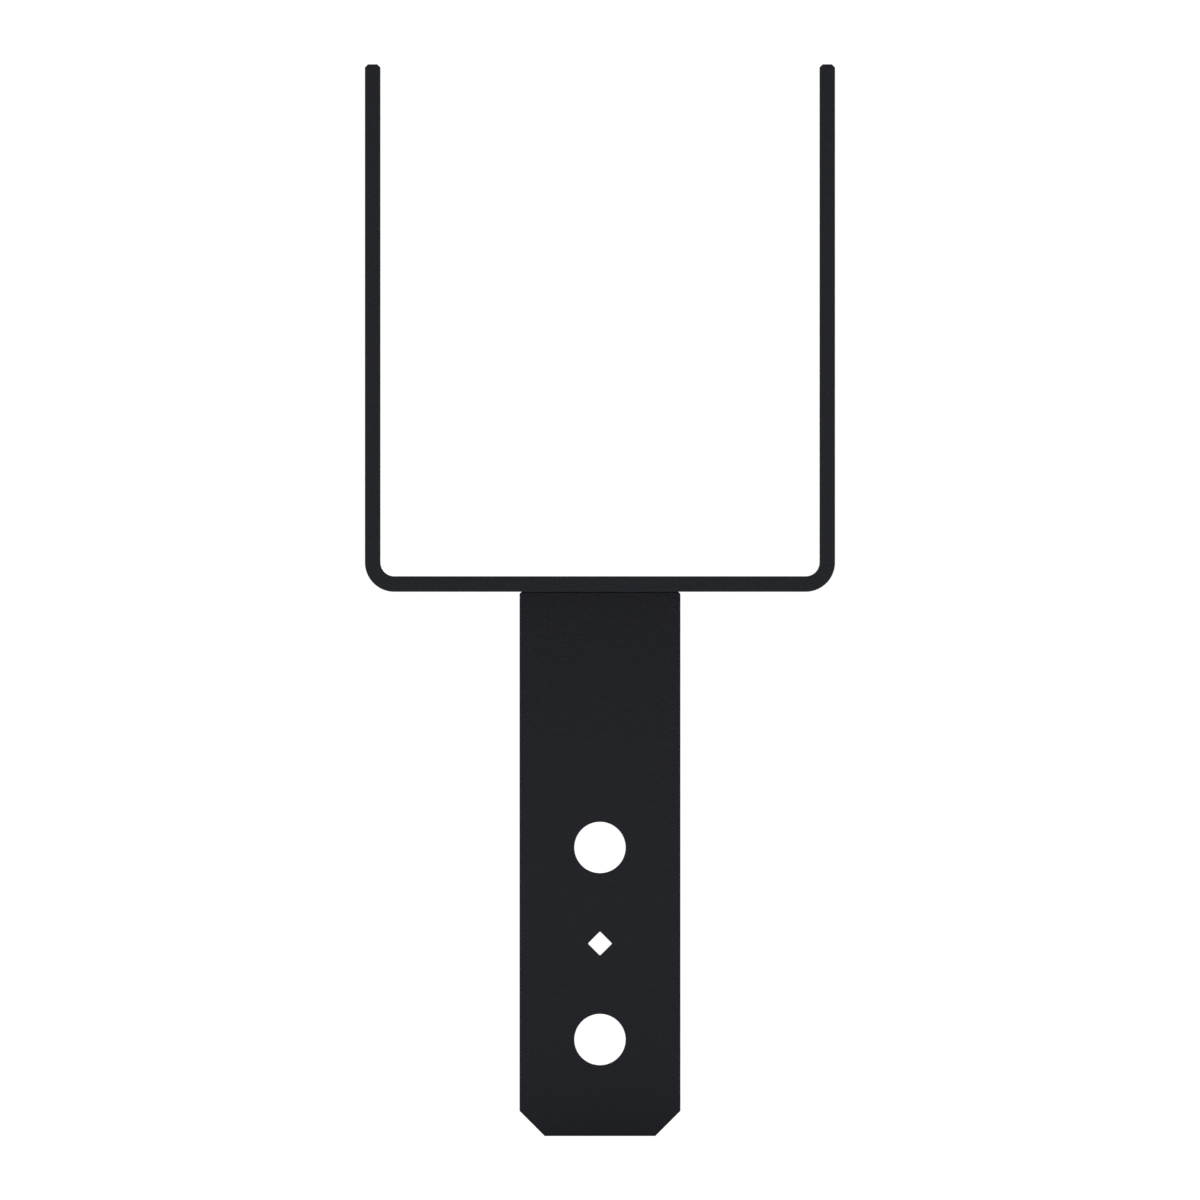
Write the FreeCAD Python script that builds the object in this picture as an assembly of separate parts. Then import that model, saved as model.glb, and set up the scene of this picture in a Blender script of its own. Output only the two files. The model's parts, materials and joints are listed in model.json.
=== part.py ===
import FreeCAD, Part
import math
import os

# Column cap: a folded saddle that holds a timber beam on top of a square timber post.
# Two straps, one on each of two opposite faces of the post, hang from the saddle's underside.
# Each is butted to the saddle and held by a bead of weld along its inner face.
#
# Frame: the origin is the centre of the beam's seat, the upper face of the saddle's base.
# +Z points up. X runs across the beam, from side plate to side plate. Y runs along the beam.
# Millimetres throughout.

Vector = FreeCAD.Vector

# Plate stock with its coat, and how far the coat rounds a cut edge
PLATE = 4.95
EDGE_RADIUS = 0.3

# Timber that the cap takes
BEAM_WIDTH = 139.7
POST_DEPTH = 139.7

# Saddle
SADDLE_LENGTH = 279.4
SIDE_HEIGHT = 162.9
BEND_RADIUS = 4.4
RIM_BEVEL = 1.0

# Bolt holes in the side plates, placed from the plate's own edges
BEAM_HOLE_DIAMETER = 16.3
BEAM_HOLE_TO_END = 38.1
BEAM_HOLE_TO_RIM = 38.1
BEAM_HOLE_PITCH = 61.1

# Post straps
STRAP_WIDTH = 51.2
STRAP_LENGTH = 173.15
STRAP_CORNER_CUT = 8.0
STRAP_TOP_BEVEL = 0.65

# Bolt holes and nail hole in the straps, placed from the strap's tip
POST_HOLE_DIAMETER = 16.3
POST_HOLE_TO_TIP = 30.7
POST_HOLE_PITCH = 61.1
NAIL_HOLE_SIDE = 5.45

# Weld beads between the straps and the saddle
WELD_LEG = 4.0
WELD_CROWN = 0.35
WELD_END_MARGIN = 5.0


def near(a, b):
    """True where two measures are the same size."""
    return math.isclose(a, b, abs_tol=1e-6)


def edges_where(shape, test):
    """The shape's edges whose every vertex passes the test."""
    return [edge for edge in shape.Edges if all(test(vertex.Point) for vertex in edge.Vertexes)]


def fold_line(offset):
    """The five stretches of a rounded U in the XZ plane, from the left rim round to the right.

    Offset 0 is the face against the beam, and PLATE is the outer face. The bends at both are
    arcs about one centre, as a plate folds.
    """
    half = BEAM_WIDTH / 2 + offset
    radius = BEND_RADIUS + offset
    half_way = radius * math.sqrt(0.5)
    centre_x = BEAM_WIDTH / 2 - BEND_RADIUS
    centre_z = BEND_RADIUS
    left_rim = Vector(-half, 0, SIDE_HEIGHT)
    left_foot = Vector(-half, 0, centre_z)
    left_bend = Vector(-centre_x - half_way, 0, centre_z - half_way)
    left_base = Vector(-centre_x, 0, -offset)
    right_base = Vector(centre_x, 0, -offset)
    right_bend = Vector(centre_x + half_way, 0, centre_z - half_way)
    right_foot = Vector(half, 0, centre_z)
    right_rim = Vector(half, 0, SIDE_HEIGHT)
    return [
        Part.makeLine(left_rim, left_foot),
        Part.Arc(left_foot, left_bend, left_base).toShape(),
        Part.makeLine(left_base, right_base),
        Part.Arc(right_base, right_bend, right_foot).toShape(),
        Part.makeLine(right_foot, right_rim),
    ]


def saddle_section():
    """Flat face with the folded plate's section, at the saddle's front end."""
    rims = []
    for side in (-1, 1):
        inner_rim = Vector(side * BEAM_WIDTH / 2, 0, SIDE_HEIGHT)
        outer_rim = inner_rim + Vector(side * PLATE, 0, 0)
        rims.append(Part.makeLine(inner_rim, outer_rim))
    stretches = fold_line(0) + fold_line(PLATE) + rims
    section = Part.Face(Part.Wire(Part.__sortEdges__(stretches)))
    section.translate(Vector(0, -SADDLE_LENGTH / 2, 0))
    return section


def beam_bolt_cutters():
    """Round cutters along X, each through both side plates, in two columns of two."""
    reach = BEAM_WIDTH / 2 + 2 * PLATE
    top_row = SIDE_HEIGHT - BEAM_HOLE_TO_RIM
    column = SADDLE_LENGTH / 2 - BEAM_HOLE_TO_END
    return [
        Part.makeCylinder(BEAM_HOLE_DIAMETER / 2, 2 * reach, Vector(-reach, y, z), Vector(1, 0, 0))
        for y in (-column, column)
        for z in (top_row - BEAM_HOLE_PITCH, top_row)
    ]


def beam_saddle():
    """One plate folded up at both sides: base, two bends and two side plates with bolt holes."""
    plate = saddle_section().extrude(Vector(0, SADDLE_LENGTH, 0))
    rim_edges = edges_where(plate, lambda p: near(p.z, SIDE_HEIGHT))
    long_rim_edges = [edge for edge in rim_edges if near(edge.Length, SADDLE_LENGTH)]
    plate = plate.makeChamfer(RIM_BEVEL, long_rim_edges)
    end_edges = edges_where(plate, lambda p: near(abs(p.y), SADDLE_LENGTH / 2))
    plate = plate.makeFillet(EDGE_RADIUS, end_edges)
    return plate.cut(beam_bolt_cutters())


def strap_outline():
    """Flat face with the strap's outline at y = 0, its top on the saddle's underside."""
    top = -PLATE
    tip = top - STRAP_LENGTH
    half = STRAP_WIDTH / 2
    corners = [
        Vector(-half, 0, top),
        Vector(-half, 0, tip + STRAP_CORNER_CUT),
        Vector(-half + STRAP_CORNER_CUT, 0, tip),
        Vector(half - STRAP_CORNER_CUT, 0, tip),
        Vector(half, 0, tip + STRAP_CORNER_CUT),
        Vector(half, 0, top),
    ]
    return Part.Face(Part.makePolygon(corners + corners[:1]))


def post_bolt_cutters():
    """Round cutters along Y for a strap's two bolts."""
    low_hole = -PLATE - STRAP_LENGTH + POST_HOLE_TO_TIP
    return [
        Part.makeCylinder(POST_HOLE_DIAMETER / 2, 3 * PLATE, Vector(0, -PLATE, z), Vector(0, 1, 0))
        for z in (low_hole, low_hole + POST_HOLE_PITCH)
    ]


def nail_hole_cutter():
    """Square cutter along Y, standing on one corner, midway between a strap's two bolts."""
    middle = -PLATE - STRAP_LENGTH + POST_HOLE_TO_TIP + POST_HOLE_PITCH / 2
    reach = NAIL_HOLE_SIDE * math.sqrt(0.5)
    corners = [
        Vector(0, -PLATE, middle - reach),
        Vector(reach, -PLATE, middle),
        Vector(0, -PLATE, middle + reach),
        Vector(-reach, -PLATE, middle),
    ]
    return Part.Face(Part.makePolygon(corners + corners[:1])).extrude(Vector(0, 3 * PLATE, 0))


def post_strap():
    """Flat strap with two bolt holes, a nail hole and cut lower corners, from y = 0 to y = PLATE."""
    plate = strap_outline().extrude(Vector(0, PLATE, 0))
    top_edges = edges_where(plate, lambda p: near(p.z, -PLATE))
    top_corners = [edge for edge in top_edges if near(edge.Length, PLATE)]
    plate = plate.makeChamfer(STRAP_TOP_BEVEL, top_corners)
    outer_edges = edges_where(plate, lambda p: near(p.y, 0))
    inner_edges = edges_where(plate, lambda p: near(p.y, PLATE))
    plate = plate.makeFillet(EDGE_RADIUS, outer_edges + inner_edges)
    return plate.cut(post_bolt_cutters() + [nail_hole_cutter()])


def bead_section():
    """Flat face with the bead's section at x = 0: a right-angled corner under a crowned front."""
    corner = Vector(0, 0, -PLATE)
    toe_on_saddle = corner + Vector(0, WELD_LEG, 0)
    toe_on_strap = corner + Vector(0, 0, -WELD_LEG)
    bulge = WELD_LEG / 2 + WELD_CROWN * math.sqrt(0.5)
    crown = corner + Vector(0, bulge, -bulge)
    outline = [
        Part.makeLine(corner, toe_on_saddle),
        Part.Arc(toe_on_saddle, crown, toe_on_strap).toShape(),
        Part.makeLine(toe_on_strap, corner),
    ]
    return Part.Face(Part.Wire(outline))


def weld_bead():
    """Bead along X on the +Y side of the plane y = 0, its ends turned round against that plane."""
    half_run = STRAP_WIDTH / 2 - WELD_END_MARGIN - WELD_LEG
    section = bead_section()
    section.translate(Vector(-half_run, 0, 0))
    straight = section.extrude(Vector(2 * half_run, 0, 0))
    left_end = section.revolve(Vector(-half_run, 0, -PLATE), Vector(0, 0, 1), 90)
    right_end = left_end.mirror(Vector(0, 0, 0), Vector(1, 0, 0))
    return straight.fuse([left_end, right_end]).removeSplitter()


def front_and_back(shape):
    """The shape where it stands at the front, and the same turned half round to the back."""
    back = shape.copy()
    back.rotate(Vector(0, 0, 0), Vector(0, 0, 1), 180)
    return shape, back


def cap_pieces():
    """Each piece of the cap in its place, by name."""
    inner_face = -POST_DEPTH / 2
    strap = post_strap()
    strap.translate(Vector(0, inner_face - PLATE, 0))
    bead = weld_bead()
    bead.translate(Vector(0, inner_face, 0))
    front_strap, back_strap = front_and_back(strap)
    front_bead, back_bead = front_and_back(bead)
    return {
        "beam_saddle": beam_saddle(),
        "front_post_strap": front_strap,
        "back_post_strap": back_strap,
        "front_weld_bead": front_bead,
        "back_weld_bead": back_bead,
    }


def main():
    """Write each piece of the cap to its own file."""
    os.makedirs("parts", exist_ok=True)
    for name, shape in cap_pieces().items():
        solid = shape.Solids[0]
        if len(shape.Solids) != 1 or not solid.isValid():
            raise ValueError(f"{name} is not one sound solid")
        solid.exportStep(f"parts/{name}.step")
        print(f"{name}: {solid.Volume / 1000:.2f} cm3, {len(solid.Faces)} faces")


main()
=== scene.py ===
"""Dress a column cap: coated saddle and straps with rolled edges, rippled welds and a studio."""

from __future__ import annotations

import sys

import json
import logging
import math
from collections.abc import Callable, Sequence
from dataclasses import dataclass, field
from enum import Enum

import bmesh
import bpy
import numpy as np
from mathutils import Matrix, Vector

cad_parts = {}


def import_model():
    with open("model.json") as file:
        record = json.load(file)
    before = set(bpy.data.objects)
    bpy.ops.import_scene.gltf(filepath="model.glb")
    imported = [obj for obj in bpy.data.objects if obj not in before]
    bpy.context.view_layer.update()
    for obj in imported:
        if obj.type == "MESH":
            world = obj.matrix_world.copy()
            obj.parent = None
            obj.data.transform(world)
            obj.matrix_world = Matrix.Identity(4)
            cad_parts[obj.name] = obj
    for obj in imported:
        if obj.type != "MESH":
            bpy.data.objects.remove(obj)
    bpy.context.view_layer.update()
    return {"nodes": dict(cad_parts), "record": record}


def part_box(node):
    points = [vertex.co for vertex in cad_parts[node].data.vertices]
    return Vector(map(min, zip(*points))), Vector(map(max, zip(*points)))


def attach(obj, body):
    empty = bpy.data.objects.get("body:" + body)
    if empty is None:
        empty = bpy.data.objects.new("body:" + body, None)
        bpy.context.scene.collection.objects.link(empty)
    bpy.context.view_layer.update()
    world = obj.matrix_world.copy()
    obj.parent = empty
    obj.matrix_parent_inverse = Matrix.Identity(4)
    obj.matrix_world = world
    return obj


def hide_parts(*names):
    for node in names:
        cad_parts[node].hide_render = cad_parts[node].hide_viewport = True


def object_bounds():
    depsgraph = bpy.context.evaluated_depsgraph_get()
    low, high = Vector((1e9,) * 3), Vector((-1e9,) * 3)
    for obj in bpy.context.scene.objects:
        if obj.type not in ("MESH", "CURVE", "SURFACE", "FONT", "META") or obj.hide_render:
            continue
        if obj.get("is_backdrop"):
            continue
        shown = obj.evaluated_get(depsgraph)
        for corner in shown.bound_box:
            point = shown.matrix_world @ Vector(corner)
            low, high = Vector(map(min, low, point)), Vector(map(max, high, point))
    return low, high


LOG = logging.getLogger("column_cap")
MILLIMETRE = 0.001
MERGE_DISTANCE = 0.002 * MILLIMETRE
HALF_PI = math.pi / 2
SLANT = math.sqrt(0.5)

# The record's material slots
PLATE_COAT = "plate_coat"
WELD_COAT = "weld_coat"

# The photograph's frame, and where the cap lies in it
PHOTO_SIDE_PX = 1200
PHOTO_PX_PER_METRE = 3142.95
AXIS_COLUMN_PX = 599.98
SEAT_ROW_PX = 576.25

# What a noise pattern swings about
NOISE_MEAN = 0.5

# Sockets of a Mix node that mixes colours
MIX_FACTOR, MIX_LOW, MIX_HIGH = 0, 6, 7
MIX_RESULT = 2


# Shader maths


class Value:
    """A number that varies over a surface, for use in plain arithmetic."""

    def __init__(self, shader: Shader, socket: bpy.types.NodeSocket | None) -> None:
        """Hold the shader that the socket belongs to."""
        self.shader = shader
        self.socket = socket

    def _combine(self, operation: str, first: Value | float, second: Value | float) -> Value:
        """Return the result of a Math node on two operands."""
        return self.shader.add("ShaderNodeMath", {"operation": operation}, [first, second])

    def __add__(self, other: Value | float) -> Value:
        """Return the sum."""
        return self._combine("ADD", self, other)

    __radd__ = __add__

    def __sub__(self, other: Value | float) -> Value:
        """Return the difference."""
        return self._combine("SUBTRACT", self, other)

    def __rsub__(self, other: Value | float) -> Value:
        """Return the difference the other way round."""
        return self._combine("SUBTRACT", other, self)

    def __mul__(self, other: Value | float) -> Value:
        """Return the product."""
        return self._combine("MULTIPLY", self, other)

    __rmul__ = __mul__


class Shader:
    """A node tree being filled, for a material or for the world."""

    def __init__(self, owner: bpy.types.Material | bpy.types.World) -> None:
        """Start an empty tree.

        Args:
            owner: The material or world that the tree belongs to.
        """
        owner.use_nodes = True
        self.tree = owner.node_tree
        self.tree.nodes.clear()

    def add(
        self,
        kind: str,
        settings: dict[str, object] | None = None,
        inputs: Sequence[object] | dict[str | int, object] = (),
        output: str | int = 0,
    ) -> Value:
        """Add one node.

        Args:
            kind: The node's type name.
            settings: The node's own properties, set before its sockets.
            inputs: Values or links, in socket order, or by socket name or number.
            output: Which output the result stands for.

        Returns:
            The chosen output, which is empty for a node that has none.
        """
        node = self.tree.nodes.new(kind)
        for name, setting in (settings or {}).items():
            setattr(node, name, setting)
        pairs = inputs.items() if isinstance(inputs, dict) else enumerate(inputs)
        for key, given in pairs:
            if isinstance(given, Value):
                self.tree.links.new(given.socket, node.inputs[key])
            else:
                node.inputs[key].default_value = given
        return Value(self, node.outputs[output] if node.outputs else None)

    def place(self) -> Value:
        """Return the point being shaded, in the object's own metres."""
        return self.add("ShaderNodeTexCoord", output="Object")

    def noise(self, point: Value, size: float, detail: float) -> Value:
        """Add a cloudy pattern.

        Args:
            point: Where the pattern is read.
            size: Width of the largest clouds, in metres.
            detail: How many finer layers there are.

        Returns:
            The pattern, a value that swings about its mean.
        """
        inputs = {"Vector": point, "Scale": 1 / size, "Detail": detail, "Roughness": 0.5}
        return self.add("ShaderNodeTexNoise", {"noise_dimensions": "3D"}, inputs, "Fac")

    def blend(self, factor: Value, low: Sequence[float], high: Sequence[float]) -> Value:
        """Return a colour between two, by a factor."""
        inputs = {MIX_FACTOR: factor, MIX_LOW: (*low, 1.0), MIX_HIGH: (*high, 1.0)}
        return self.add("ShaderNodeMix", {"data_type": "RGBA"}, inputs, MIX_RESULT)


# Finishes


@dataclass(frozen=True)
class PowderCoat:
    """Satin black powder coat: a smooth skin with the faint dimples of a baked coat.

    Its clouds, dimples and grain are given by their widths, and the last two by the
    heights of their relief as well.
    """

    name: str
    light: tuple[float, float, float] = (0.0062, 0.0073, 0.0123)
    dark: tuple[float, float, float] = (0.0055, 0.0065, 0.0110)
    roughness: float = 0.38
    roughness_swing: float = 0.08
    gloss: float = 0.28
    cloud: float = 60 * MILLIMETRE
    dimple: float = 2.2 * MILLIMETRE
    dimple_height: float = 0.05 * MILLIMETRE
    grain: float = 0.6 * MILLIMETRE
    grain_height: float = 0.034 * MILLIMETRE

    def material(self) -> bpy.types.Material:
        """Mix the coat.

        Clouds shift its colour and its roughness a little. Dimples and a finer grain, each
        times its own height, make its relief.

        Returns:
            The coat as a material that reads Object coordinates.
        """
        made = bpy.data.materials.new(self.name)
        shader = Shader(made)
        point = shader.place()
        clouds = shader.noise(point, self.cloud, detail=2.0)
        dimples = shader.noise(point, self.dimple, detail=1.0)
        grain = shader.noise(point, self.grain, detail=0.0)
        height = dimples * self.dimple_height + grain * self.grain_height
        relief = {"Height": height, "Strength": 1.0, "Distance": 1.0}
        coat = {
            "Base Color": shader.blend(clouds, self.dark, self.light),
            "Roughness": (clouds - NOISE_MEAN) * self.roughness_swing + self.roughness,
            "Specular IOR Level": self.gloss,
            "Normal": shader.add("ShaderNodeBump", {}, relief),
        }
        skin = shader.add("ShaderNodeBsdfPrincipled", {}, coat)
        shader.add("ShaderNodeOutputMaterial", {}, {"Surface": skin})
        return made


@dataclass(frozen=True)
class StudioFloor:
    """Plain pale matt floor."""

    light: tuple[float, float, float] = (0.80, 0.80, 0.80)
    dark: tuple[float, float, float] = (0.78, 0.78, 0.78)
    cloud: float = 0.9
    roughness: float = 0.9
    gloss: float = 0.2

    def material(self) -> bpy.types.Material:
        """Mix the floor's paint, which wide clouds shift a little between two greys.

        Returns:
            The paint as a material that reads Object coordinates.
        """
        made = bpy.data.materials.new("studio_floor")
        shader = Shader(made)
        clouds = shader.noise(shader.place(), self.cloud, detail=1.0)
        paint = {
            "Base Color": shader.blend(clouds, self.dark, self.light),
            "Roughness": self.roughness,
            "Specular IOR Level": self.gloss,
        }
        skin = shader.add("ShaderNodeBsdfPrincipled", {}, paint)
        shader.add("ShaderNodeOutputMaterial", {}, {"Surface": skin})
        return made


# Surfaces


def grid_squares(rows: int, columns: int) -> np.ndarray:
    """Return which of a grid's points, counted row by row, are each square's four corners."""
    index = np.arange(rows * columns).reshape(rows, columns)
    return np.stack([index[:-1, :-1], index[1:, :-1], index[1:, 1:], index[:-1, 1:]], axis=-1)


def hump(share: np.ndarray) -> np.ndarray:
    """Return a parabola that is nothing at shares 0 and 1, and one half way between."""
    return 4 * share * (1 - share)


@dataclass
class Surface:
    """Grids of points that together close round one solid piece."""

    grids: list[np.ndarray] = field(default_factory=list)
    masks: list[np.ndarray] = field(default_factory=list)

    def add(self, grid: np.ndarray, keep: np.ndarray | None = None) -> None:
        """Add a grid of points.

        Args:
            grid: Points in space, rows by columns.
            keep: Which of the grid's squares are kept, all of them if None.
        """
        rows, columns = grid.shape[:2]
        self.grids.append(grid)
        self.masks.append(np.ones((rows - 1, columns - 1), bool) if keep is None else keep)

    def _arrays(self) -> tuple[np.ndarray, np.ndarray]:
        """Gather all the grids.

        Returns:
            The points in use, and the four corners of every kept square.
        """
        squares, start = [], 0
        for grid, keep in zip(self.grids, self.masks):
            rows, columns = grid.shape[:2]
            squares.append(start + grid_squares(rows, columns)[keep])
            start += rows * columns
        points = np.concatenate([grid.reshape(-1, 3) for grid in self.grids])
        used, corners = np.unique(np.concatenate(squares), return_inverse=True)
        return points[used], corners.reshape(-1, 4)

    def piece(self, name: str) -> bpy.types.Object:
        """Make the surface an object, joined where its grids meet, and shaded smooth.

        Args:
            name: The object's name.

        Returns:
            The object, at the origin.
        """
        points, squares = self._arrays()
        mesh = bpy.data.meshes.new(name)
        mesh.from_pydata(points.tolist(), [], squares.tolist())
        work = bmesh.new()
        work.from_mesh(mesh)
        bmesh.ops.remove_doubles(work, verts=work.verts, dist=MERGE_DISTANCE)
        bmesh.ops.recalc_face_normals(work, faces=work.faces)
        open_edges = sum(1 for edge in work.edges if len(edge.link_faces) != 2)
        work.to_mesh(mesh)
        work.free()
        mesh.polygons.foreach_set("use_smooth", np.ones(len(mesh.polygons), bool))
        LOG.info("%s: %d faces, %d open edges", name, len(mesh.polygons), open_edges)
        made = bpy.data.objects.new(name, mesh)
        bpy.context.scene.collection.objects.link(made)
        return made


@dataclass(frozen=True)
class EdgeProfile:
    """How a plate's cut wall turns over into its two faces.

    The steps lie at the same depths all round the plate, those of its widest slope included.

    Attributes:
        thickness: From the first face to the second.
        radii: The circle's radius at each face.
        reach: How far in from the edge the profile starts.
        widest_slope: The widest that any side's slope is.
        arc_steps: Steps in a quarter circle.
        support: A narrow flat beside each turn, which keeps the shading of the faces even.
    """

    thickness: float
    radii: tuple[float, float]
    reach: float
    widest_slope: float = 0.0
    arc_steps: int = 8
    support: float = 0.06 * MILLIMETRE

    def _turned(self, radius: float, slope: float) -> tuple[np.ndarray, np.ndarray]:
        """Work out the section from one face round to the wall.

        It runs flat from the reach to the turned edge, round an eighth of a circle, down a
        slope of 45 degrees, round the next eighth and onto the wall. At each depth the circle
        is as far round as it would be at that depth less the part of the slope gone down, and
        the rest of the slope moves it in. With no slope it is a plain quarter circle.

        Args:
            radius: The circle's radius.
            slope: The slope's width.

        Returns:
            Distance in from the edge, and depth from the face, step by step.
        """
        arc = radius * (1 - np.cos(np.linspace(0, HALF_PI, self.arc_steps + 1)))
        wall = radius + self.widest_slope + self.support
        depth = np.append(np.unique([arc, arc + self.widest_slope]), wall)
        gone = np.clip(depth - radius * (1 - SLANT), 0, slope)
        height = np.maximum(radius - depth + gone, 0)
        inset = radius - np.sqrt(radius**2 - height**2) + slope - gone
        start = radius + slope + self.support
        return np.append([self.reach, start], inset), np.append([0, 0], depth)

    def section(self, slope: float = 0.0) -> tuple[np.ndarray, np.ndarray]:
        """Work out the whole section, from one face over the wall to the other.

        Args:
            slope: The width of the slope within both edges.

        Returns:
            Distance in from the edge, and depth from the first face, step by step.
        """
        inset_one, depth_one = self._turned(self.radii[0], slope)
        inset_two, depth_two = self._turned(self.radii[1], slope)
        inset = np.append(inset_one, inset_two[::-1])
        return inset, np.append(depth_one, self.thickness - depth_two[::-1])


@dataclass(frozen=True)
class Side:
    """One side of a plate's outline.

    Attributes:
        points: The lattice's points along it, which lie inside the edge by the reach.
        outward: The way out, one long.
        slope: Width of the slope within both its edges.
    """

    points: np.ndarray
    outward: tuple[float, float]
    slope: float = 0.0


@dataclass(frozen=True)
class RoundHole:
    """A punched round hole in a cell of a plate's lattice."""

    radius: float

    def outline(self, bearing: np.ndarray) -> tuple[np.ndarray, np.ndarray]:
        """Return the rim's points and the ways into the plate, on the given bearings."""
        outward = np.stack([np.cos(bearing), np.sin(bearing)], axis=-1)
        return self.radius * outward, outward


@dataclass(frozen=True)
class SquareHole:
    """A punched square hole that stands on one corner.

    Attributes:
        reach: From the middle to a sharp corner.
        corner_radius: The radius that rounds the corners.
        corner_share: The share of the bearings that goes to the corners.
    """

    reach: float
    corner_radius: float
    corner_share: float = 0.3

    def outline(self, bearing: np.ndarray) -> tuple[np.ndarray, np.ndarray]:
        """Work out the rim.

        Each quarter of the bearings goes once past one corner: the way out swings a right
        angle over the corner's share of it, and slides along the straight sides for the rest.

        Args:
            bearing: Angles round the hole's middle.

        Returns:
            The rim's points, and the ways into the plate.
        """
        quarter = np.round(bearing / HALF_PI) * HALF_PI
        place = (bearing - quarter) / (HALF_PI / 2)
        swing = np.clip(place / self.corner_share, -1, 1) * HALF_PI / 2
        along = np.clip((np.abs(place) - self.corner_share) / (1 - self.corner_share), 0, 1)
        corner = self.reach - math.sqrt(2) * self.corner_radius
        slide = along * corner / 2
        x = corner - slide + self.corner_radius * np.cos(swing)
        y = np.sign(place) * slide + self.corner_radius * np.sin(swing)
        cosine, sine = np.cos(quarter), np.sin(quarter)
        points = np.stack([x * cosine - y * sine, x * sine + y * cosine], axis=-1)
        outward = np.stack([np.cos(quarter + swing), np.sin(quarter + swing)], axis=-1)
        return points, outward


Hole = RoundHole | SquareHole
Shaping = Callable[[np.ndarray], np.ndarray]


def even(start: float, stop: float, steps: int) -> np.ndarray:
    """Return a stretch of lattice lines spaced evenly."""
    return np.linspace(start, stop, steps + 1)


def round_centre(centre: float, half: float, steps: int) -> np.ndarray:
    """Return a stretch of lattice lines that look evenly turned from its centre."""
    return centre + half * np.tan(np.linspace(-HALF_PI / 2, HALF_PI / 2, steps + 1))


def joined(stretches: list[np.ndarray]) -> np.ndarray:
    """Return the lattice lines of stretches that meet end to end, every line once."""
    heads = [stretch[:-1] for stretch in stretches]
    return np.concatenate([*heads, stretches[-1][-1:]])


def cell_span(lines: np.ndarray, centre: float, half: float) -> slice:
    """Find a hole's cell among the lattice lines along one direction.

    Args:
        lines: The lattice lines.
        centre: Where the hole's middle lies.
        half: Half the cell's width.

    Returns:
        Where the cell's lines stand among them all, both ends included.
    """
    first, last = (int(np.abs(lines - end).argmin()) for end in (centre - half, centre + half))
    return slice(first, last + 1)


def at_depth(flat: np.ndarray, depth: np.ndarray | float) -> np.ndarray:
    """Return points of the plate's plane with their depth, one for all or one for each column."""
    return np.concatenate([flat, np.broadcast_to(depth, flat.shape[:2])[..., None]], axis=-1)


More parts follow.
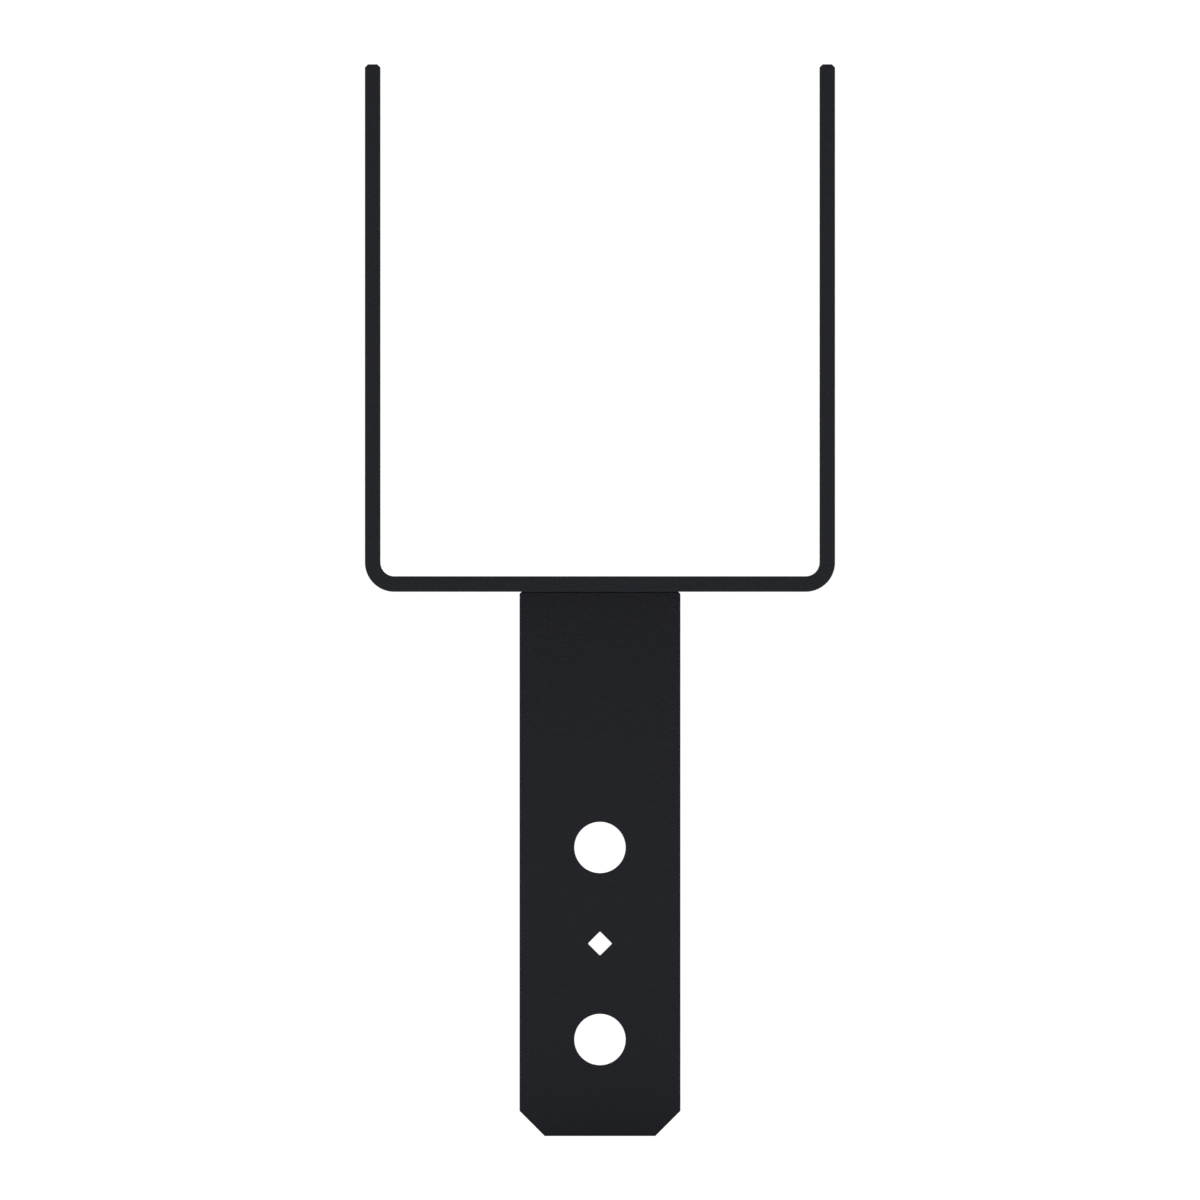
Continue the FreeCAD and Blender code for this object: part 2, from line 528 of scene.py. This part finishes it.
@dataclass
class Plate:
    """A flat plate with holes, in its own two directions and its depth, before it is shaped.

    Attributes:
        lattice: Points of its faces, out to the reach from the edge.
        sides: The outline's sides, in order round the plate.
        holes: Each hole with the rows and columns of the lattice cell that it is in.
        thickness: The plate's thickness.
        reach: From the lattice's outer points out to the edge.
        edge_radius: Radius of the outline's rolled edges, and of its corners in the plane.
        hole_radii: Radii of the holes' rims at the two faces.
        corner_steps: Steps round an outline's corner.
        collar_shares: Where the rings round a hole lie, from its cell's sides to its rim.
    """

    lattice: np.ndarray
    sides: list[Side]
    holes: list[tuple[slice, slice, Hole]]
    thickness: float
    reach: float
    edge_radius: float
    hole_radii: tuple[float, float]
    corner_steps: int = 8
    collar_shares: tuple[float, ...] = (0.0, 0.3, 0.6, 0.85, 1.0)

    def _solid_squares(self) -> np.ndarray:
        """Leave the holes' cells out of the faces.

        Returns:
            Which of the lattice's squares the faces keep.
        """
        keep = np.ones((self.lattice.shape[0] - 1, self.lattice.shape[1] - 1), bool)
        for rows, columns, _ in self.holes:
            keep[rows.start : rows.stop - 1, columns.start : columns.stop - 1] = False
        return keep

    def _corner(self, point: np.ndarray, ways: np.ndarray, rooms: np.ndarray) -> np.ndarray:
        """Work out the fan of steps round one corner of the outline.

        Each step of the section has a centre of its own, which lies in from both sides' steps
        by the edge's radius. It stands off that centre by the radius, along a way out that
        swings from side to side. The first and last steps, on the faces, are the corner itself.

        Args:
            point: The lattice's corner.
            ways: The two sides' ways out.
            rooms: How far out from the corner each step stands, on each of those ways.

        Returns:
            Points in the plate's plane, places by steps.
        """
        here, there = ways
        turn = math.atan2(here[0] * there[1] - here[1] * there[0], here @ there)
        angle = math.atan2(here[1], here[0]) + np.linspace(0, turn, self.corner_steps + 1)
        way = np.stack([np.cos(angle), np.sin(angle)], axis=-1)
        centres = point + np.linalg.solve(ways, rooms - self.edge_radius).T
        fan = centres + self.edge_radius * way[:, None, :]
        fan[:, [0, -1]] = point
        return fan

    def _outline(self) -> np.ndarray:
        """Work out the wall round the plate with its rolled edges.

        Beside a side the section stands straight out from the side's points. Each corner has
        a fan of steps.

        Returns:
            Points with their depth, places by steps, closed round.
        """
        radii = (self.edge_radius, self.edge_radius)
        widest = max(side.slope for side in self.sides)
        profile = EdgeProfile(self.thickness, radii, self.reach, widest)
        rooms = self.reach - np.stack([profile.section(side.slope)[0] for side in self.sides])
        ways = np.array([side.outward for side in self.sides])
        rings = []
        for number, side in enumerate(self.sides):
            pair = [number, (number + 1) % len(self.sides)]
            rings.append(side.points[:, None, :] + rooms[number][:, None] * ways[number])
            rings.append(self._corner(side.points[-1], ways[pair], rooms[pair]))
        flat = np.concatenate([*rings, rings[0][:1]])
        return at_depth(flat, profile.section()[1])

    def _bore(self, cell: np.ndarray, hole: Hole) -> list[np.ndarray]:
        """Work out one hole: its wall with the rolled rims, and the rings round it.

        Args:
            cell: The lattice's points over the cell that the hole is in.
            hole: The hole.

        Returns:
            Points with their depth: the wall's, and each face's rings.
        """
        loop = np.concatenate([cell[:, 0], cell[-1, 1:], cell[-2::-1, -1], cell[0, -2::-1]])
        centre = (cell[0, 0] + cell[-1, -1]) / 2
        away = loop - centre
        rim, ways = hole.outline(np.arctan2(away[:, 1], away[:, 0]))
        rim_reach = 2 * max(self.hole_radii)
        inset, depth = EdgeProfile(self.thickness, self.hole_radii, rim_reach).section()
        flat = centre + rim[:, None, :] + inset[:, None] * ways[:, None, :]
        grids = [at_depth(flat, depth)]
        shares = np.array(self.collar_shares)[:, None]
        for level, end in ((0.0, flat[:, 0]), (self.thickness, flat[:, -1])):
            collar = loop[:, None, :] * (1 - shares) + end[:, None, :] * shares
            grids.append(at_depth(collar, level))
        return grids

    def surface(self, shape: Shaping) -> Surface:
        """Close the whole plate and shape it.

        Args:
            shape: Takes points as two directions and a depth, and gives them in space.

        Returns:
            The closed surface.
        """
        made = Surface()
        for level in (0.0, self.thickness):
            made.add(shape(at_depth(self.lattice, level)), self._solid_squares())
        made.add(shape(self._outline()))
        for rows, columns, hole in self.holes:
            for grid in self._bore(self.lattice[rows, columns], hole):
                made.add(shape(grid))
        return made


# The cap's own pieces


class End(Enum):
    """Which face of the post a strap stands on, and the way it faces along Y."""

    FRONT = -1
    BACK = 1

    @property
    def word(self) -> str:
        """Return the end's name as the names of its pieces and nodes have it."""
        return self.name.lower()


@dataclass(frozen=True)
class CapSizes:
    """The sizes that every piece shares, read from the frame, in metres.

    Attributes:
        saddle_high: The highest corner of the saddle's box.
        plate: Thickness of the plate.
        beam_hole_radius: Radius of the side plates' holes.
        beam_hole_gaps: From one such hole to the next along Y, and up.
        beam_hole_height: Height of their pattern's middle.
        post_hole_radius: Radius of the straps' bolt holes.
        post_hole_gap: From one such hole up to the next.
        post_hole_height: Height of their pattern's middle.
    """

    saddle_high: np.ndarray
    plate: float
    beam_hole_radius: float
    beam_hole_gaps: tuple[float, float]
    beam_hole_height: float
    post_hole_radius: float
    post_hole_gap: float
    post_hole_height: float

    @classmethod
    def from_frame(cls, record: dict) -> CapSizes:
        """Read the saddle's box and the bolt patterns.

        Args:
            record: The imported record.

        Returns:
            The sizes.
        """
        low, high = (np.array(corner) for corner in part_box("beam_saddle"))
        mounts = {mount["name"]: mount for mount in record["mounts"]}
        beam, post = mounts["right_beam_bolts"], mounts["front_post_bolts"]
        return cls(
            saddle_high=high,
            plate=-low[2],
            beam_hole_radius=beam["dims"]["hole_r_mm"] * MILLIMETRE,
            beam_hole_gaps=(
                beam["dims"]["spacing_x_mm"] * MILLIMETRE,
                beam["dims"]["spacing_y_mm"] * MILLIMETRE,
            ),
            beam_hole_height=beam["pos_m"][2],
            post_hole_radius=post["dims"]["hole_r_mm"] * MILLIMETRE,
            post_hole_gap=post["dims"]["spacing_y_mm"] * MILLIMETRE,
            post_hole_height=post["pos_m"][2],
        )


@dataclass
class BeamSaddle:
    """The folded plate that holds the beam, made as a flat blank and then folded.

    Reach is how far in from the edge the lattice of the flat faces ends. A hole's cell is
    the square of lattice round it, given by half its side. The steps cut up the lattice:
    over half the seat, beside the holes' cells, and along the saddle between them.
    """

    sizes: CapSizes
    bend_radius: float = 4.4 * MILLIMETRE
    rim_bevel: float = 1.0 * MILLIMETRE
    edge_radius: float = 0.3 * MILLIMETRE
    reach: float = 1.6 * MILLIMETRE
    hole_cell: float = 14 * MILLIMETRE
    hole_radii: tuple[float, float] = (0.3 * MILLIMETRE, 0.5 * MILLIMETRE)
    hole_steps: int = 20
    bend_steps: int = 20
    seat_steps: int = 4
    margin_steps: int = 2
    length_steps: int = 8
    bend_support: float = 0.4 * MILLIMETRE

    @property
    def base_half(self) -> float:
        """Return half the width of the flat base, between the bends."""
        return self.sizes.saddle_high[0] - self.sizes.plate - self.bend_radius

    @property
    def bend_length(self) -> float:
        """Return how much of the blank's inner face each bend takes."""
        return self.bend_radius * HALF_PI

    def fold(self, blank: np.ndarray) -> np.ndarray:
        """Fold the blank up at both sides.

        The first direction runs along the inner face from the middle of the seat. Over the
        base it is X. Past the base it turns about the bend's centre by the distance over the
        bend's inner radius, up to a right angle, and the rest rises straight up. Depth goes
        outwards from the inner face, square to it.

        Args:
            blank: Points as distance along the fold, Y and depth.

        Returns:
            The points in space.
        """
        along, y, depth = blank[..., 0], blank[..., 1], blank[..., 2]
        past = np.maximum(np.abs(along) - self.base_half, 0)
        turn = np.minimum(past / self.bend_radius, HALF_PI)
        rise = np.maximum(past - self.bend_length, 0)
        radius = self.bend_radius + depth
        flat = np.minimum(np.abs(along), self.base_half)
        x = np.sign(along) * (flat + radius * np.sin(turn))
        z = self.bend_radius - radius * np.cos(turn) + rise
        return np.stack([x, y, z], axis=-1)

    def _across(self) -> tuple[np.ndarray, list[slice]]:
        """Set out the lattice lines across the blank, from rim to rim.

        Up a side plate, distance along the fold is height plus the distance at which the
        plate, run straight down, would reach the seat's level.

        Returns:
            The lines, and where each row of holes stands among them.
        """
        size, cell, steps = self.sizes, self.hole_cell, self.hole_steps
        ease, margin = self.bend_support, self.margin_steps
        bend_start = self.base_half
        bend_end = bend_start + self.bend_length
        seat_level = bend_end - self.bend_radius
        rim = seat_level + size.saddle_high[2]
        middle, half_gap = seat_level + size.beam_hole_height, size.beam_hole_gaps[1] / 2
        low_hole, high_hole = middle - half_gap, middle + half_gap
        right = [
            even(0, bend_start - ease, self.seat_steps),
            even(bend_start - ease, bend_start, 1),
            even(bend_start, bend_end, self.bend_steps),
            even(bend_end, bend_end + ease, 1),
            even(bend_end + ease, low_hole - cell, margin),
            round_centre(low_hole, cell, steps),
            even(low_hole + cell, high_hole - cell, margin),
            round_centre(high_hole, cell, steps),
            even(high_hole + cell, rim - self.reach, margin),
        ]
        left = [-stretch[::-1] for stretch in right[::-1]]
        lines = joined(left + right)
        holes = (-high_hole, -low_hole, low_hole, high_hole)
        return lines, [cell_span(lines, hole, cell) for hole in holes]

    def _along(self) -> tuple[np.ndarray, list[slice]]:
        """Set out the lattice lines along the blank, from end to end.

        Returns:
            The lines, and where each column of holes stands among them.
        """
        size, cell, steps = self.sizes, self.hole_cell, self.hole_steps
        end = size.saddle_high[1] - self.reach
        hole = size.beam_hole_gaps[0] / 2
        lines = joined([
            even(-end, -hole - cell, self.margin_steps),
            round_centre(-hole, cell, steps),
            even(-hole + cell, hole - cell, self.length_steps),
            round_centre(hole, cell, steps),
            even(hole + cell, end, self.margin_steps),
        ])
        return lines, [cell_span(lines, place, cell) for place in (-hole, hole)]

    def blank(self) -> Plate:
        """Cut the flat blank, with its holes and its bevelled rims.

        A bevel's width counts from the sharp corner that it takes off. Its flat slope is
        narrower by what the two rolled edges beside it take.

        Returns:
            The blank.
        """
        across, hole_rows = self._across()
        along, hole_columns = self._along()
        lattice = np.stack(np.meshgrid(across, along, indexing="ij"), axis=-1)
        bolt = RoundHole(self.sizes.beam_hole_radius)
        slope = self.rim_bevel - self.edge_radius * (2 - math.sqrt(2))
        return Plate(
            lattice=lattice,
            sides=[
                Side(lattice[:, 0], (0, -1)),
                Side(lattice[-1, :], (1, 0), slope),
                Side(lattice[::-1, -1], (0, 1)),
                Side(lattice[0, ::-1], (-1, 0), slope),
            ],
            holes=[(rows, columns, bolt) for rows in hole_rows for columns in hole_columns],
            thickness=self.sizes.plate,
            reach=self.reach,
            edge_radius=self.edge_radius,
            hole_radii=self.hole_radii,
        )

    def build(self) -> bpy.types.Object:
        """Return the folded saddle."""
        return self.blank().surface(self.fold).piece("folded_saddle")


@dataclass
class PostStrap:
    """A flat strap with two bolt holes, a nail hole and cut corners.

    The upper corners are cut a little, by the reach times two less the root of two, where the
    cut stands as far out from the lattice's corner as the sides do. Reach and the holes' cell
    are as in the saddle. The steps cut up the lattice: beside the cells, up the cut corners,
    from there to the lowest cell, between the cells and above them.
    """

    sizes: CapSizes
    end: End
    corner_cut: float = 8.0 * MILLIMETRE
    nail_side: float = 5.45 * MILLIMETRE
    nail_corner_radius: float = 0.35 * MILLIMETRE
    edge_radius: float = 0.3 * MILLIMETRE
    reach: float = 1.1 * MILLIMETRE
    hole_cell: float = 12.5 * MILLIMETRE
    hole_radii: tuple[float, float] = (0.45 * MILLIMETRE, 0.3 * MILLIMETRE)
    hole_steps: int = 24
    flank_steps: int = 3
    cut_steps: int = 3
    foot_steps: int = 2
    gap_steps: int = 1
    top_steps: int = 4

    @property
    def node(self) -> str:
        """Return the name of the strap's node in the frame."""
        return f"{self.end.word}_post_strap"

    def stand(self, flat: np.ndarray) -> np.ndarray:
        """Stand the plate up on its side of the post.

        Args:
            flat: Points as X, Z and depth inwards from the outer face.

        Returns:
            The points in space.
        """
        low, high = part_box(self.node)
        outer = low[1] if self.end is End.FRONT else high[1]
        y = outer - self.end.value * flat[..., 2]
        return np.stack([flat[..., 0], y, flat[..., 1]], axis=-1)

    def _up(self) -> tuple[np.ndarray, list[slice]]:
        """Set out the lattice lines from the tip up.

        The first stretch ends where the cut corners do.

        Returns:
            The lines, and where the lower bolt, the nail and the upper bolt stand among them.
        """
        low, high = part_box(self.node)
        cell, steps = self.hole_cell, self.hole_steps
        cut_top = low[2] + self.corner_cut + self.reach * (math.sqrt(2) - 1)
        middle = self.sizes.post_hole_height
        lower, upper = (middle + side * self.sizes.post_hole_gap / 2 for side in (-1, 1))
        lines = joined([
            even(low[2] + self.reach, cut_top, self.cut_steps),
            even(cut_top, lower - cell, self.foot_steps),
            round_centre(lower, cell, steps),
            even(lower + cell, middle - cell, self.gap_steps),
            round_centre(middle, cell, steps),
            even(middle + cell, upper - cell, self.gap_steps),
            round_centre(upper, cell, steps),
            even(upper + cell, high[2] - self.reach, self.top_steps),
        ])
        return lines, [cell_span(lines, hole, cell) for hole in (lower, middle, upper)]

    def _lattice(self, z: np.ndarray) -> tuple[np.ndarray, slice]:
        """Set out the lattice.

        Its middle column is as wide as the holes' cells. The flanks beside it reach out to the
        edge, which narrows down the cut corners at one across for one down.

        Args:
            z: The lattice lines from the tip up.

        Returns:
            The lattice, and where the holes' column stands in it.
        """
        low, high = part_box(self.node)
        cell, half = self.hole_cell, high[0]
        cut_edge = half - self.corner_cut - self.reach * math.sqrt(2) + (z - low[2])
        edge = np.minimum(half - self.reach, cut_edge)
        shares = np.linspace(0, 1, self.flank_steps + 1)[1:, None]
        flank = cell + shares * (edge - cell)
        column = round_centre(0, cell, self.hole_steps)
        middle = np.broadcast_to(column[:, None], (len(column), len(z)))
        x = np.concatenate([-flank[::-1], middle, flank])
        lattice = np.stack([x, np.broadcast_to(z, x.shape)], axis=-1)
        return lattice, slice(self.flank_steps, self.flank_steps + len(column))

    def flat_plate(self) -> Plate:
        """Cut the strap as a flat plate.

        Returns:
            The plate, in X, Z and depth.
        """
        lines, hole_rows = self._up()
        lattice, column = self._lattice(lines)
        bolt = RoundHole(self.sizes.post_hole_radius)
        nail = SquareHole(self.nail_side * SLANT, self.nail_corner_radius)
        return Plate(
            lattice=lattice,
            sides=[
                Side(lattice[:, 0], (0, -1)),
                Side(lattice[-1, : self.cut_steps + 1], (SLANT, -SLANT)),
                Side(lattice[-1, self.cut_steps :], (1, 0)),
                Side(lattice[-1, -1:], (SLANT, SLANT)),
                Side(lattice[::-1, -1], (0, 1)),
                Side(lattice[0, -1:], (-SLANT, SLANT)),
                Side(lattice[0, : self.cut_steps - 1 : -1], (-1, 0)),
                Side(lattice[0, self.cut_steps :: -1], (-SLANT, -SLANT)),
            ],
            holes=[(column, rows, hole) for rows, hole in zip(hole_rows, (bolt, nail, bolt))],
            thickness=self.sizes.plate,
            reach=self.reach,
            edge_radius=self.edge_radius,
            hole_radii=self.hole_radii,
        )

    def build(self) -> bpy.types.Object:
        """Return the strap."""
        return self.flat_plate().surface(self.stand).piece(f"{self.end.word}_strap_plate")


@dataclass
class WeldBead:
    """A hand-run fillet bead: overlapping crescents along the corner, turned round at its ends.

    Attributes:
        end: The strap that it holds.
        ripple_pitch: From one crescent to the next.
        ripple_height: From a crescent's brow down to its foot.
        ripple_rise: The share of a crescent over which its brow rises.
        pitch_swing: The share by which the pitch varies along the run.
        pitch_rate: How quickly it varies, in radians for each crescent.
        crescent: How far a crescent bows forward in the middle of the bead.
        crown: How far the front stands out past the straight line between its toes.
        wander: How far the leg wanders to either side of its mean.
        wander_lengths: Lengths along the run over which its two waves turn by a radian.
        wander_shares: How much of the wander each wave makes.
        wander_start: Where the second wave starts, in radians.
        root_sink: How far the root is sunk into both plates.
        run_steps: Steps along the run.
        crown_steps: Steps from toe to toe.
    """

    end: End
    ripple_pitch: float = 1.5 * MILLIMETRE
    ripple_height: float = 0.16 * MILLIMETRE
    ripple_rise: float = 0.16
    pitch_swing: float = 0.18
    pitch_rate: float = 2.3
    crescent: float = 1.1 * MILLIMETRE
    crown: float = 0.35 * MILLIMETRE
    wander: float = 0.14 * MILLIMETRE
    wander_lengths: tuple[float, float] = (5.1 * MILLIMETRE, 2.3 * MILLIMETRE)
    wander_shares: tuple[float, float] = (0.6, 0.4)
    wander_start: float = 1.3
    root_sink: float = 0.15 * MILLIMETRE
    run_steps: int = 420
    crown_steps: int = 22

    @property
    def node(self) -> str:
        """Return the name of the bead's node in the frame."""
        return f"{self.end.word}_weld_bead"

    @property
    def _shares(self) -> np.ndarray:
        """Return the places on the front, as shares of the way from toe to toe."""
        return np.linspace(0, 1, self.crown_steps + 1)[None, :]

    def _legs(self, straight: np.ndarray, leg: float) -> np.ndarray:
        """Let the leg wander under its full length, by a long wave and a short one.

        Args:
            straight: Place along the straight run.
            leg: The full leg.

        Returns:
            The leg at each place.
        """
        long_wave, short_wave = (straight / length for length in self.wander_lengths)
        long_share, short_share = self.wander_shares
        wave = long_share * np.sin(long_wave) + short_share * np.sin(short_wave + self.wander_start)
        return leg + self.wander * (wave - 1)

    def _ripples(self, run: np.ndarray) -> np.ndarray:
        """Work out the crescents' relief.

        The phase counts crescents along the run, less a parabola across the front that bows
        them forward, plus a sine that makes them uneven. Over each crescent the relief rises
        sharply, times the root of what is left of the crescent, which lets it fade. It is
        set half its height lower, so that it goes about as far in as out.

        Args:
            run: Distance along the bead, its turned ends included.

        Returns:
            Relief at each step and each place on the front.
        """
        phase = (run[:, None] - self.crescent * hump(self._shares)) / self.ripple_pitch
        phase = phase + self.pitch_swing * np.sin(self.pitch_rate * phase) / self.pitch_rate
        gone = phase - np.floor(phase)
        brow = np.minimum(gone / self.ripple_rise, 1)
        return self.ripple_height * (np.sqrt(1 - gone) * brow - 0.5)

    def _section(self, ripple: np.ndarray, legs: np.ndarray) -> tuple[np.ndarray, np.ndarray]:
        """Work out the bead's section at each step of its run.

        The front is the straight line between the toes, pushed out by a parabola of the
        crown's height, and further by the ripple, which dies away at both toes. The back goes
        round through the root, sunk a little into the two plates.

        Args:
            ripple: Relief at each step and each place on the front.
            legs: The bead's leg at each step.

        Returns:
            Distance out from the strap, and distance down from the saddle.
        """
        toe = legs[:, None]
        bulge = hump(self._shares)
        push = (self.crown * bulge + ripple * np.sqrt(bulge)) * SLANT
        out = toe * self._shares + push
        down = toe * (1 - self._shares) + push
        back = np.full_like(toe, -self.root_sink)
        out = np.hstack([out, toe, back, back, out[:, :1]])
        return out, np.hstack([down, back, back, toe, down[:, :1]])

    def build(self) -> bpy.types.Object:
        """Run the bead.

        At both ends the section turns a quarter round the corner until it lies against the
        strap. The leg wanders along the straight run and stays as it is round the turns, so
        that the toe on the strap is a single point there.

        Returns:
            The bead's object.
        """
        low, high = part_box(self.node)
        strap_low, strap_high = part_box(f"{self.end.word}_post_strap")
        face = strap_high[1] if self.end is End.FRONT else strap_low[1]
        leg = high[2] - low[2]
        half_run = high[0] - leg
        turn_length = leg * HALF_PI
        run = np.linspace(-half_run - turn_length, half_run + turn_length, self.run_steps + 1)
        straight = np.clip(run, -half_run, half_run)
        turn = (run - straight) / leg
        out, down = self._section(self._ripples(run), self._legs(straight, leg))
        x = straight[:, None] + out * np.sin(turn)[:, None]
        y = face - self.end.value * out * np.cos(turn)[:, None]
        tube = np.stack([x, y, high[2] - down], axis=-1)
        surface = Surface()
        surface.add(tube)
        for ring in (tube[0], tube[-1]):
            surface.add(np.stack([ring, np.broadcast_to(ring.mean(axis=0), ring.shape)]))
        return surface.piece(f"{self.end.word}_bead")


@dataclass
class ColumnCap:
    """The whole cap: its saddle, straps and beads, each dressed and set on its node."""

    sizes: CapSizes
    coats: dict[str, bpy.types.Material]

    def dress(self, piece: bpy.types.Object, node: str, slot: str) -> None:
        """Coat a piece and let it stand for its node.

        Args:
            piece: The piece.
            node: The node that it replaces.
            slot: The record's material slot, which names its coat.
        """
        piece.data.materials.append(self.coats[slot])
        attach(piece, "root")
        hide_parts(node)
        LOG.info("%s stands for %s", piece.name, node)

    def build(self) -> None:
        """Build every piece in order."""
        self.dress(BeamSaddle(self.sizes).build(), "beam_saddle", PLATE_COAT)
        for end in End:
            strap = PostStrap(self.sizes, end)
            self.dress(strap.build(), strap.node, PLATE_COAT)
            bead = WeldBead(end)
            self.dress(bead.build(), bead.node, WELD_COAT)


# Studio


@dataclass(frozen=True)
class SoftBox:
    """A soft light with a flat oblong face, aimed at the cap."""

    name: str
    place: tuple[float, float, float]
    size: tuple[float, float]
    power: float

    def build(self, target: Vector) -> None:
        """Hang the light and aim it.

        Args:
            target: The point that it faces.
        """
        lamp = bpy.data.lights.new(self.name, "AREA")
        lamp.shape = "RECTANGLE"
        lamp.size, lamp.size_y = self.size
        lamp.energy = self.power
        hung = bpy.data.objects.new(self.name, lamp)
        hung.visible_camera = False
        hung.location = self.place
        aim = target - hung.location
        hung.rotation_euler = aim.to_track_quat("-Z", "Y").to_euler()
        bpy.context.scene.collection.objects.link(hung)


@dataclass
class Studio:
    """White surroundings, a pale floor, soft light from above and a level camera.

    Attributes:
        floor_half: Half the floor's side, in metres.
        floor_lines: Lattice lines across the floor.
        camera_distance: From the camera to the cap's middle.
        camera_sight: How far the camera sees.
        horizon_light: Strength of the light from level with the cap.
        zenith_light: Strength of the light from straight overhead.
        backdrop: Strength of the white that the camera sees behind the cap.
        boxes: The soft lights.
    """

    floor_half: float = 30.0
    floor_lines: int = 9
    camera_distance: float = 1.2
    camera_sight: float = 12.0
    horizon_light: float = 0.12
    zenith_light: float = 1.4
    backdrop: float = 1.02
    boxes: tuple[SoftBox, ...] = (
        SoftBox("left_light", (-1.8, -1.2, 0.08), (1.4, 0.5), 9.0),
        SoftBox("right_light", (1.8, -1.2, 0.08), (1.4, 0.5), 9.0),
        SoftBox("front_light", (0.0, -2.0, -0.02), (1.6, 0.3), 0.8),
        SoftBox("top_light", (-0.4, 0.3, 1.5), (0.7, 0.7), 7.0),
        SoftBox("back_light", (0.9, 1.8, 0.5), (1.2, 0.7), 8.0),
    )

    def surroundings(self) -> None:
        """Fill the world with soft light that grows from the horizon to straight overhead.

        Its strength grows with the square of the height that a ray comes from. The camera
        itself sees an even white behind the cap.
        """
        world = bpy.data.worlds.new("studio_air")
        bpy.context.scene.world = world
        shader = Shader(world)
        way = shader.add("ShaderNodeTexCoord", output="Generated")
        height = shader.add("ShaderNodeSeparateXYZ", {}, [way], "Z")
        rise = shader.add("ShaderNodeClamp", {}, {"Value": height, "Min": 0.0, "Max": 1.0})
        glow = rise * rise * (self.zenith_light - self.horizon_light) + self.horizon_light
        air = shader.add("ShaderNodeBackground", {}, {"Color": (1, 1, 1, 1), "Strength": glow})
        paper = {"Color": (1, 1, 1, 1), "Strength": self.backdrop}
        white = shader.add("ShaderNodeBackground", {}, paper)
        seen = shader.add("ShaderNodeLightPath", output="Is Camera Ray")
        mixed = shader.add("ShaderNodeMixShader", {}, [seen, air, white])
        shader.add("ShaderNodeOutputWorld", {}, {"Surface": mixed})

    def floor(self, height: float) -> None:
        """Lay the floor.

        Args:
            height: The height at which it lies.
        """
        side = np.linspace(-self.floor_half, self.floor_half, self.floor_lines)
        x, y = np.meshgrid(side, side, indexing="ij")
        points = np.stack([x, y, np.full_like(x, height)], axis=-1).reshape(-1, 3)
        squares = grid_squares(*x.shape).reshape(-1, 4)
        mesh = bpy.data.meshes.new("floor")
        mesh.from_pydata(points.tolist(), [], squares.tolist())
        mesh.materials.append(StudioFloor().material())
        laid = bpy.data.objects.new("floor", mesh)
        bpy.context.scene.collection.objects.link(laid)
        laid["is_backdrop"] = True

    def camera(self) -> None:
        """Set up the level camera that looks along +Y with no perspective, as the photograph.

        Its frame is the photograph's, at the photograph's scale. It stands where the cap's
        axis and its seat fall on the photograph's own column and row.
        """
        lens = bpy.data.cameras.new("portrait_camera")
        lens.type = "ORTHO"
        lens.ortho_scale = PHOTO_SIDE_PX / PHOTO_PX_PER_METRE
        lens.clip_end = self.camera_sight
        stand = bpy.data.objects.new("portrait_camera", lens)
        middle = PHOTO_SIDE_PX / 2
        x = (middle - AXIS_COLUMN_PX) / PHOTO_PX_PER_METRE
        z = (SEAT_ROW_PX - middle) / PHOTO_PX_PER_METRE
        stand.location = (x, -self.camera_distance, z)
        stand.rotation_euler = (HALF_PI, 0, 0)
        bpy.context.scene.collection.objects.link(stand)
        bpy.context.scene.camera = stand

    def build(self) -> None:
        """Set out the whole studio round the cap."""
        low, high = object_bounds()
        bpy.context.scene.view_settings.view_transform = "Standard"
        bpy.context.scene.view_settings.look = "None"
        self.camera()
        self.surroundings()
        self.floor(low[2])
        for box in self.boxes:
            box.build((low + high) / 2)


# The frame


def coat_nodes(frame: dict, coats: dict[str, bpy.types.Material]) -> None:
    """Give every node of the frame its slot's coat, also those that a piece stands for.

    Args:
        frame: The loaded frame.
        coats: The coat of each material slot.
    """
    for subpart in frame["record"]["subparts"]:
        materials = frame["nodes"][subpart["node"]].data.materials
        materials.clear()
        materials.append(coats[subpart["material_slot"]])


def main() -> None:
    """Load the frame, build the studio and the cap."""
    logging.basicConfig(level=logging.INFO, format="%(name)s: %(message)s", stream=sys.stdout)
    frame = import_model()
    weld_coat = PowderCoat(WELD_COAT, roughness=0.43, dimple_height=0.006 * MILLIMETRE)
    coats = {coat.name: coat.material() for coat in (PowderCoat(PLATE_COAT), weld_coat)}
    coat_nodes(frame, coats)
    Studio().build()
    ColumnCap(CapSizes.from_frame(frame["record"]), coats).build()


if __name__ == "__main__":
    main()
